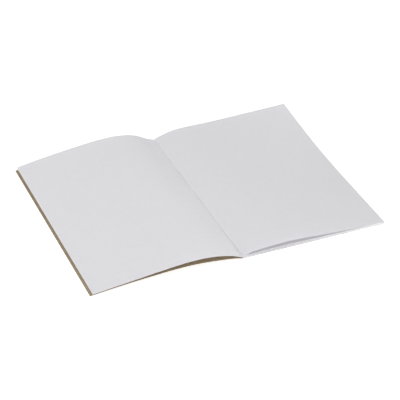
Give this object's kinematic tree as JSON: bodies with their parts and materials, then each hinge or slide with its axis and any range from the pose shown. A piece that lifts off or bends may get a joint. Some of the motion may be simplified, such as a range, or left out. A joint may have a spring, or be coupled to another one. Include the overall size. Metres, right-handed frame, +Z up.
{
  "type": "stapled exercise book",
  "caption": "Open stapled exercise book with plain white pages: kraft cover, nested folded sheets, wire staples through the spine fold, and leaves that turn about the spine.",
  "frame": {"origin": "on the table, under the middle of the spine fold", "axes": "+X from the spine to the right-hand fore-edge, +Y along the spine to the head of the page, +Z up from the table"},
  "size_m": [0.2793, 0.21, 0.015],
  "materials": {
    "page_paper": "smooth uncoated white writing paper",
    "kraft_cover": "uncoated brown kraft card",
    "staple_wire": "drawn galvanised wire"
  },
  "bodies": {
    "spine": {"back_cover": "kraft_cover", "sheet_1_fold": "page_paper", "sheet_2_fold": "page_paper", "sheet_3_fold": "page_paper", "sheet_4_fold": "page_paper", "sheet_5_fold": "page_paper", "sheet_6_fold": "page_paper", "sheet_7_fold": "page_paper", "sheet_8_fold": "page_paper", "staple_foot": "staple_wire", "staple_head": "staple_wire"},
    "front_cover": {"front_cover": "kraft_cover"},
    "leaf_01": {"leaf_01": "page_paper"},
    "leaf_02": {"leaf_02": "page_paper"},
    "leaf_03": {"leaf_03": "page_paper"},
    "leaf_04": {"leaf_04": "page_paper"},
    "leaf_05": {"leaf_05": "page_paper"},
    "leaf_06": {"leaf_06": "page_paper"},
    "leaf_07": {"leaf_07": "page_paper"},
    "leaf_08": {"leaf_08": "page_paper"},
    "leaf_09": {"leaf_09": "page_paper"},
    "leaf_10": {"leaf_10": "page_paper"},
    "leaf_11": {"leaf_11": "page_paper"},
    "leaf_12": {"leaf_12": "page_paper"},
    "leaf_13": {"leaf_13": "page_paper"},
    "leaf_14": {"leaf_14": "page_paper"},
    "leaf_15": {"leaf_15": "page_paper"},
    "leaf_16": {"leaf_16": "page_paper"}
  },
  "joints": [
    {"name": "front_cover_hinge", "type": "hinge", "parent": "spine", "child": "front_cover", "pos_m": [0, 0, 0.006], "axis": [0, 1, 0], "range_deg": [0, 60]},
    {"name": "leaf_01_turn", "type": "hinge", "parent": "spine", "child": "leaf_01", "pos_m": [0, 0, 0.006], "axis": [0, 1, 0], "range_deg": [0, 66]},
    {"name": "leaf_02_turn", "type": "hinge", "parent": "spine", "child": "leaf_02", "pos_m": [0, 0, 0.006], "axis": [0, -1, 0], "range_deg": [0, 90]},
    {"name": "leaf_03_turn", "type": "hinge", "parent": "spine", "child": "leaf_03", "pos_m": [0, 0, 0.006], "axis": [0, -1, 0], "range_deg": [0, 84]},
    {"name": "leaf_04_turn", "type": "hinge", "parent": "spine", "child": "leaf_04", "pos_m": [0, 0, 0.006], "axis": [0, -1, 0], "range_deg": [0, 78]},
    {"name": "leaf_05_turn", "type": "hinge", "parent": "spine", "child": "leaf_05", "pos_m": [0, 0, 0.006], "axis": [0, -1, 0], "range_deg": [0, 72]},
    {"name": "leaf_06_turn", "type": "hinge", "parent": "spine", "child": "leaf_06", "pos_m": [0, 0, 0.006], "axis": [0, -1, 0], "range_deg": [0, 66]},
    {"name": "leaf_07_turn", "type": "hinge", "parent": "spine", "child": "leaf_07", "pos_m": [0, 0, 0.006], "axis": [0, -1, 0], "range_deg": [0, 60]},
    {"name": "leaf_08_turn", "type": "hinge", "parent": "spine", "child": "leaf_08", "pos_m": [0, 0, 0.006], "axis": [0, -1, 0], "range_deg": [0, 54]},
    {"name": "leaf_09_turn", "type": "hinge", "parent": "spine", "child": "leaf_09", "pos_m": [0, 0, 0.006], "axis": [0, -1, 0], "range_deg": [0, 48]},
    {"name": "leaf_10_turn", "type": "hinge", "parent": "spine", "child": "leaf_10", "pos_m": [0, 0, 0.006], "axis": [0, -1, 0], "range_deg": [0, 42]},
    {"name": "leaf_11_turn", "type": "hinge", "parent": "spine", "child": "leaf_11", "pos_m": [0, 0, 0.006], "axis": [0, -1, 0], "range_deg": [0, 36]},
    {"name": "leaf_12_turn", "type": "hinge", "parent": "spine", "child": "leaf_12", "pos_m": [0, 0, 0.006], "axis": [0, -1, 0], "range_deg": [0, 30]},
    {"name": "leaf_13_turn", "type": "hinge", "parent": "spine", "child": "leaf_13", "pos_m": [0, 0, 0.006], "axis": [0, -1, 0], "range_deg": [0, 24]},
    {"name": "leaf_14_turn", "type": "hinge", "parent": "spine", "child": "leaf_14", "pos_m": [0, 0, 0.006], "axis": [0, -1, 0], "range_deg": [0, 18]},
    {"name": "leaf_15_turn", "type": "hinge", "parent": "spine", "child": "leaf_15", "pos_m": [0, 0, 0.006], "axis": [0, -1, 0], "range_deg": [0, 12]},
    {"name": "leaf_16_turn", "type": "hinge", "parent": "spine", "child": "leaf_16", "pos_m": [0, 0, 0.006], "axis": [0, -1, 0], "range_deg": [0, 6]}
  ],
  "couplings": [
    {"joint": "leaf_01_turn", "follows": "front_cover_hinge", "ratio": 1.1},
    {"joint": "leaf_03_turn", "follows": "leaf_02_turn", "ratio": 0.93333},
    {"joint": "leaf_04_turn", "follows": "leaf_02_turn", "ratio": 0.86667},
    {"joint": "leaf_05_turn", "follows": "leaf_02_turn", "ratio": 0.8},
    {"joint": "leaf_06_turn", "follows": "leaf_02_turn", "ratio": 0.73333},
    {"joint": "leaf_07_turn", "follows": "leaf_02_turn", "ratio": 0.66667},
    {"joint": "leaf_08_turn", "follows": "leaf_02_turn", "ratio": 0.6},
    {"joint": "leaf_09_turn", "follows": "leaf_02_turn", "ratio": 0.53333},
    {"joint": "leaf_10_turn", "follows": "leaf_02_turn", "ratio": 0.46667},
    {"joint": "leaf_11_turn", "follows": "leaf_02_turn", "ratio": 0.4},
    {"joint": "leaf_12_turn", "follows": "leaf_02_turn", "ratio": 0.33333},
    {"joint": "leaf_13_turn", "follows": "leaf_02_turn", "ratio": 0.26667},
    {"joint": "leaf_14_turn", "follows": "leaf_02_turn", "ratio": 0.2},
    {"joint": "leaf_15_turn", "follows": "leaf_02_turn", "ratio": 0.13333},
    {"joint": "leaf_16_turn", "follows": "leaf_02_turn", "ratio": 0.066667}
  ]
}
